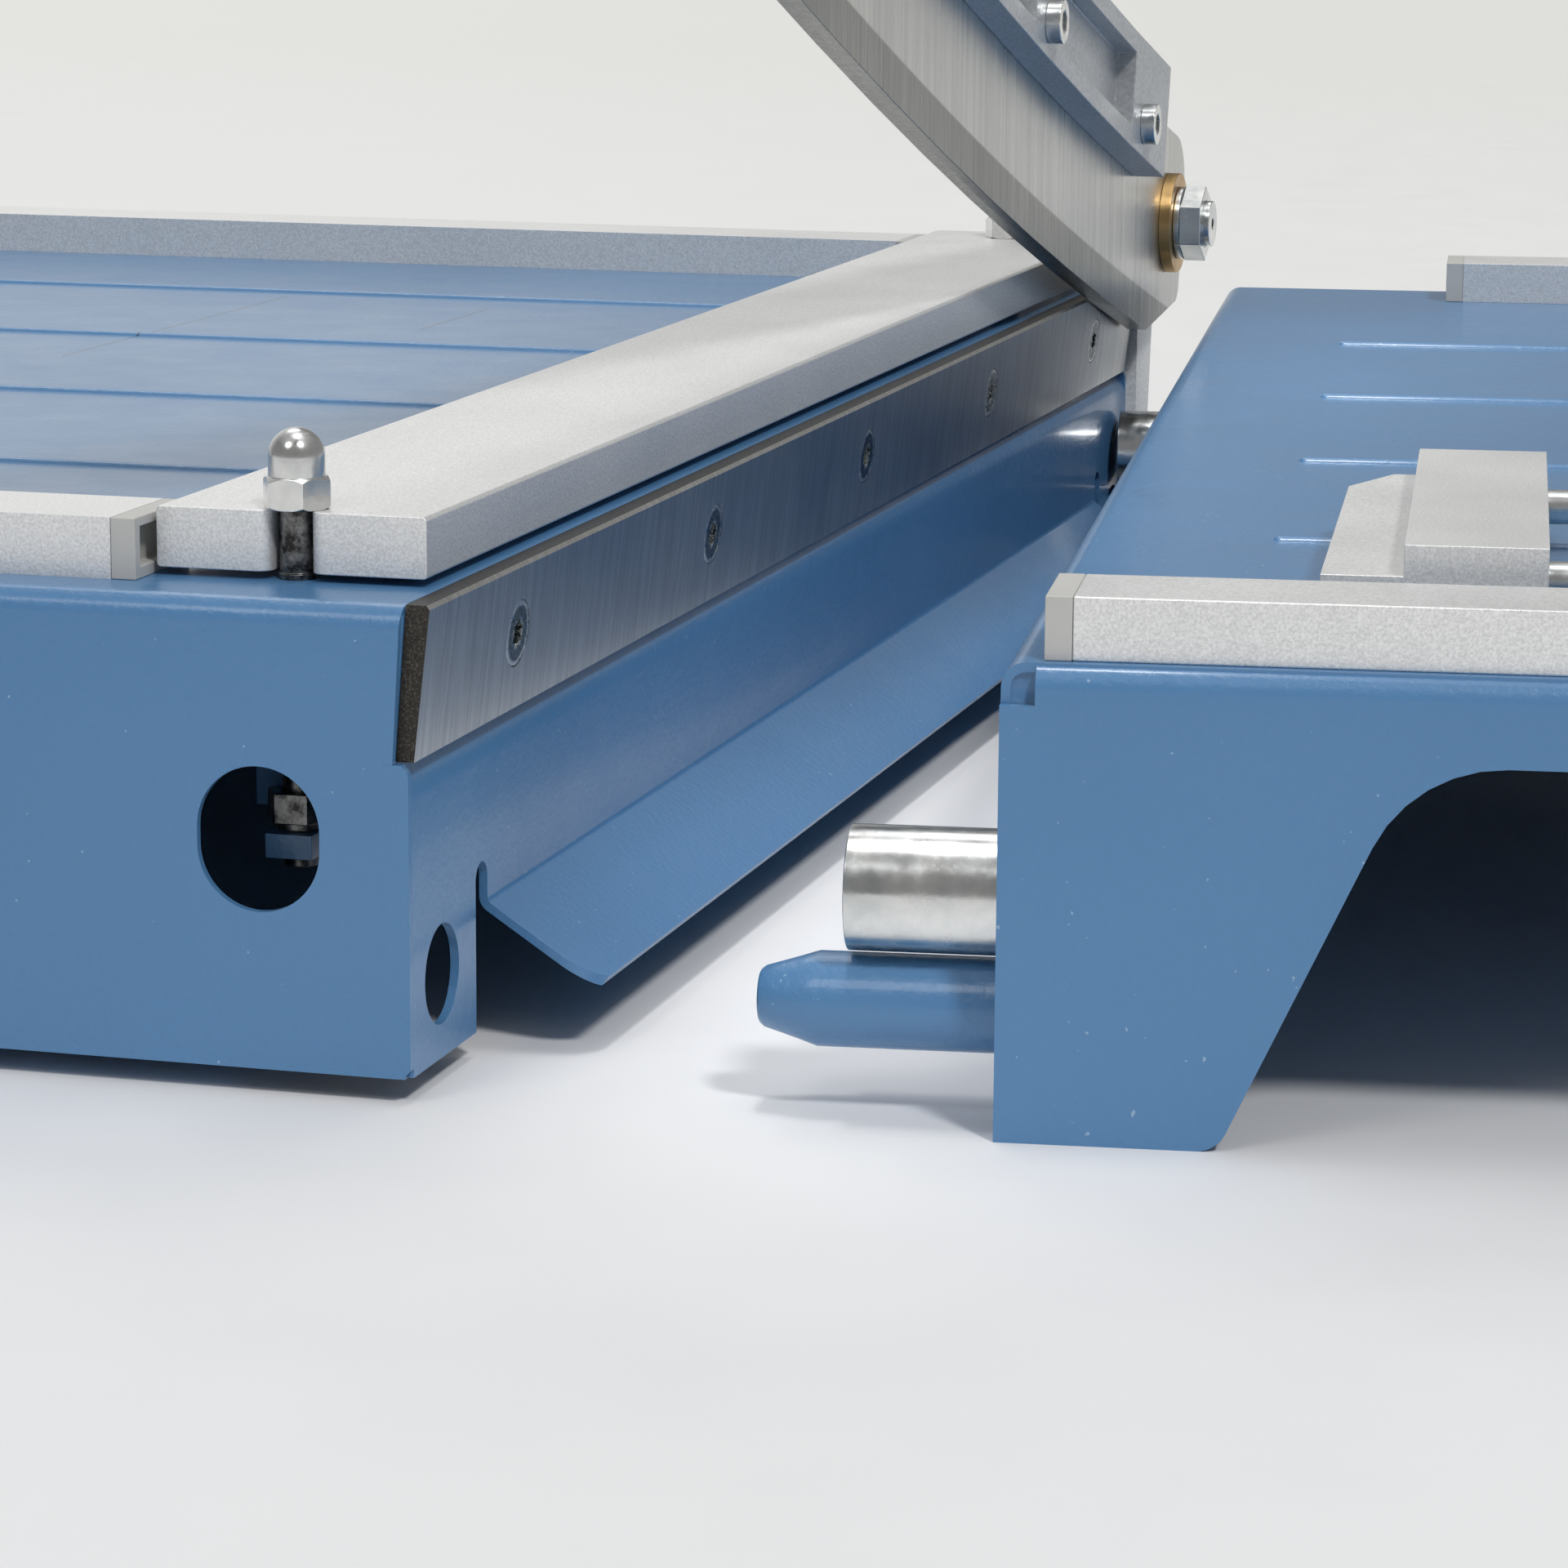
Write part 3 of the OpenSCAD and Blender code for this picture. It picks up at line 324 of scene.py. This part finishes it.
# The row of counter blade screws: radius of a head, its worn star and its turned rim
SCREW_R = 5.5 * MM
STAR_R = (2.2 * MM, 3.0 * MM)
RIM_R = (4.5 * MM, 4.9 * MM)
screw_low, screw_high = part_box("counter_blade_screws")
SCREW_Y = screw_low[1] + SCREW_R
SCREW_PITCH = (screw_high[1] - screw_low[1] - 2 * SCREW_R) / 4
SCREW_Z = 0.068

LOOKS = {
    "blue_paint": powder_coat(),
    "ground_blade": counter_blade(),
    "knife_steel": knife_steel(),
    "dark_steel": oiled(),
    "zinc": plated(),
    "anodised": blasted("blasted aluminium", (0.84, 0.84, 0.835)),
    "cast_arm": blasted("silver arm paint", (0.50, 0.51, 0.52), 900.0, 0.06, 0.5),
    "grey_cap": plastic("grey moulded plastic", (0.52, 0.515, 0.495), 0.45),
    "black_plastic": plastic("black moulded plastic", (0.022, 0.022, 0.024), 0.42, 700.0, 0.05),
    "rubber": plastic("black rubber", (0.02, 0.02, 0.02), 0.7, 500.0, 0.06),
    "bronze": bronze(),
}
SPRING_STEEL = plated()
SPECIAL = {"table_housing": powder_coat("powder coat with format lines", True),
           "counter_blade_screws": blade_screw(),
           "pivot_bracket": blasted("pale cast bracket", (0.86, 0.855, 0.84), 900.0, 0.06, 0.1)}

# ---- CAD nodes: rounded edges, with their widths in millimetres, and materials ----
EDGE_DEFAULT = 0.2
EDGE = {"table_housing": 0.35, "cutting_side_wall": 0.3, "front_table_sheet": 0.35, "clamp_bar": 0.9,
        "cap_nuts": 0.25, "front_ruler": 0.4, "rear_ruler": 0.4, "front_table_front_ruler": 0.4,
        "front_table_rear_ruler": 0.4, "ruler_end_caps": 0.2, "front_table_end_caps": 0.2,
        "stop_block": 0.5, "stop_end_bar": 0.5, "stop_bearing": 0.5, "knife_rail": 0.6,
        "handle_bracket": 0.6, "gauge_bar": 0.5,
        "gauge_shoe": 0.6, "handle_grip": 0.8, "pivot_bracket": 0.8, "counter_blade": 0.12,
        "upper_knife": 0.12, "gauge_knob": 0.8, "stop_lock_knob": 0.8, "rubber_feet": 0.8,
        "spacer_tubes": 0.25, "plug_pins": 0.5}


def soften(o, width):
    """Joins the tessellation back into whole faces, then rounds the edges."""
    if "custom_normal" in o.data.attributes:
        o.data.attributes.remove(o.data.attributes["custom_normal"])
    for p in o.data.polygons:
        p.use_smooth = True
    weld = o.modifiers.new("weld", "WELD")
    weld.merge_threshold = 0.002 * MM
    flat = o.modifiers.new("flat", "DECIMATE")
    flat.decimate_type = "DISSOLVE"
    flat.angle_limit = math.radians(0.6)
    bevel = o.modifiers.new("edges", "BEVEL")
    bevel.width = width * MM
    bevel.segments = 3
    bevel.limit_method = "ANGLE"
    bevel.angle_limit = math.radians(34)
    bevel.harden_normals = True
    bevel.use_clamp_overlap = True


for name, node in NODES.items():
    node.data.materials.clear()
    node.data.materials.append(SPECIAL.get(name, LOOKS[SLOT_OF[name]]))
    soften(node, EDGE.get(name, EDGE_DEFAULT))

# The two lift springs under the clamp bar, wound from round wire; the clamp presses them shorter, but these
# coils keep one fixed length
SPRING_WIRE = 0.0012
SPRING_TURNS = 7
SPRING_POINTS = 20


def lift_spring(name, x, y, low, high, radius):
    """A coil spring round the vertical line through x, y, as a mesh."""
    curve = bpy.data.curves.new(name, "CURVE")
    curve.dimensions = "3D"
    curve.bevel_depth = SPRING_WIRE / 2
    curve.bevel_resolution = 3
    curve.use_fill_caps = True
    count = SPRING_TURNS * SPRING_POINTS
    spline = curve.splines.new("POLY")
    spline.points.add(count)
    for i, point in enumerate(spline.points):
        turn = 2 * math.pi * i / SPRING_POINTS
        height = low + (high - low) * i / count
        point.co = (x + radius * math.cos(turn), y + radius * math.sin(turn), height, 1)
    coil = bpy.data.objects.new(name + "_curve", curve)
    bpy.context.scene.collection.objects.link(coil)
    bpy.context.view_layer.update()
    mesh = bpy.data.meshes.new_from_object(coil.evaluated_get(bpy.context.evaluated_depsgraph_get()))
    bpy.data.objects.remove(coil)
    spring = bpy.data.objects.new(name, mesh)
    bpy.context.scene.collection.objects.link(spring)
    mesh.materials.clear()
    mesh.materials.append(SPRING_STEEL)
    return spring


spring_low, spring_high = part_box("lift_springs")
spring_od = spring_high[0] - spring_low[0]
spring_x = (spring_low[0] + spring_high[0]) / 2
spring_ends = (spring_low[1] + spring_od / 2, spring_high[1] - spring_od / 2)
for number, spring_y in enumerate(spring_ends, 1):
    low_z, high_z = spring_low[2] + SPRING_WIRE / 2, spring_high[2] - SPRING_WIRE / 2
    spring = lift_spring(f"lift_spring_coil_{number}", spring_x, spring_y, low_z, high_z,
                         (spring_od - SPRING_WIRE) / 2)
    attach(spring, "base")
    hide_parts("lift_springs")
    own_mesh(spring)

# ---- Floor, light, camera ----
FLOOR_HALF = 30.0
# Painted shade: the paper's colour turns greyer between these distances behind the object, standing in for
# light falling off
FLOOR_PAINTED_SHADE_RANGE = (0.2, 3.0)
floor_mesh = bpy.data.meshes.new("floor")
floor_mesh.from_pydata([(-FLOOR_HALF, -FLOOR_HALF, 0), (FLOOR_HALF, -FLOOR_HALF, 0),
                        (FLOOR_HALF, FLOOR_HALF, 0), (-FLOOR_HALF, FLOOR_HALF, 0)], [], [(0, 1, 2, 3)])
floor = bpy.data.objects.new("floor", floor_mesh)
bpy.context.scene.collection.objects.link(floor)
paper = Shader("pale floor", (0.86, 0.86, 0.865), 0.0, 0.6)
tone = paper.mix(paper.remap(paper.noise(6.0, 3), 0, 1), (0.845, 0.845, 0.852), (0.868, 0.868, 0.872))
# Painted shade: the floor colour darkens with distance behind the object in place of light falloff
painted_falloff_shade = paper.remap(paper.axes()[1], 0, 1, *FLOOR_PAINTED_SHADE_RANGE)
paper.link(paper.mix(painted_falloff_shade, tone, (0.80, 0.80, 0.775)), "Base Color")
paper.link(paper.remap(paper.noise(30.0, 4), 0.55, 0.68), "Roughness")
paper.bump(paper.noise(500.0, 2), 0.02 * MM, 0.3)
floor_mesh.materials.append(paper.mat)

# A studio that is bright behind on the left and dark in front
world = bpy.data.worlds.new("soft studio")
bpy.context.scene.world = world
world.use_nodes = True
sky = world.node_tree
aim = sky.nodes.new("ShaderNodeTexCoord")
split = sky.nodes.new("ShaderNodeSeparateXYZ")
sky.links.new(aim.outputs["Generated"], split.inputs["Vector"])


def sky_ramp(axis, low, high, start, end):
    node = sky.nodes.new("ShaderNodeMapRange")
    node.interpolation_type = "SMOOTHSTEP"
    for key, value in (("From Min", start), ("From Max", end), ("To Min", low), ("To Max", high)):
        node.inputs[key].default_value = value
    sky.links.new(split.outputs[axis], node.inputs["Value"])
    return node.outputs["Result"]


def sky_math(operation, a, b):
    node = sky.nodes.new("ShaderNodeMath")
    node.operation = operation
    for i, value in enumerate((a, b)):
        if isinstance(value, float):
            node.inputs[i].default_value = value
        else:
            sky.links.new(value, node.inputs[i])
    return node.outputs["Value"]


behind = sky_math("MULTIPLY", sky_ramp("Y", 0.0, 0.48, 0.0, 0.75), sky_ramp("X", 1.0, 0.05, -0.36, -0.17))
above = sky_ramp("Z", 0.0, 0.20, 0.55, 0.95)
level = sky_math("ADD", sky_math("ADD", behind, above), 0.25)
sky.links.new(level, sky.nodes["Background"].inputs["Strength"])
sky.nodes["Background"].inputs["Color"].default_value = (1.0, 1.0, 0.99, 1)


def lamp(name, towards, spread, strength):
    """A soft light from one direction."""
    light = bpy.data.lights.new(name, "SUN")
    light.energy = strength
    light.angle = math.radians(spread)
    o = bpy.data.objects.new(name, light)
    bpy.context.scene.collection.objects.link(o)
    o.rotation_euler = Vector(towards).to_track_quat("Z", "Y").to_euler()


lamp("key from the front right", (0.45, -0.47, 0.78), 8, 1.35)
lamp("box from the front left", (-0.28, -0.62, 0.72), 20, 0.40)
lamp("box from behind", (-0.30, 0.58, 0.76), 24, 0.25)
lamp("box overhead", (0.05, 0.10, 1.0), 34, 0.35)

# A narrow strip light over the gap between the two tables
STRIP_PLACE = (0.10, 0.22, 0.62)
strip = bpy.data.lights.new("gap strip", "AREA")
strip.shape = "RECTANGLE"
strip.size, strip.size_y = 0.05, 0.50
strip.spread = math.radians(26)
strip.energy = 0.10
strip_light = bpy.data.objects.new("gap strip", strip)
bpy.context.scene.collection.objects.link(strip_light)
strip_light.location = STRIP_PLACE

# The camera looks along the gap from low in front; the angles are in degrees
CAMERA_PLACE = (0.3002, -0.7478, 0.2047)
CAMERA_TURN = (78.5225, -0.3439, 15.4234)
camera = bpy.data.cameras.new("camera")
camera.lens = 112.6
camera.sensor_width = 36
camera.clip_end = 100
eye = bpy.data.objects.new("camera", camera)
bpy.context.scene.collection.objects.link(eye)
eye.location = CAMERA_PLACE
eye.rotation_euler = [math.radians(a) for a in CAMERA_TURN]
bpy.context.scene.camera = eye
bpy.context.scene.view_settings.view_transform = "Standard"
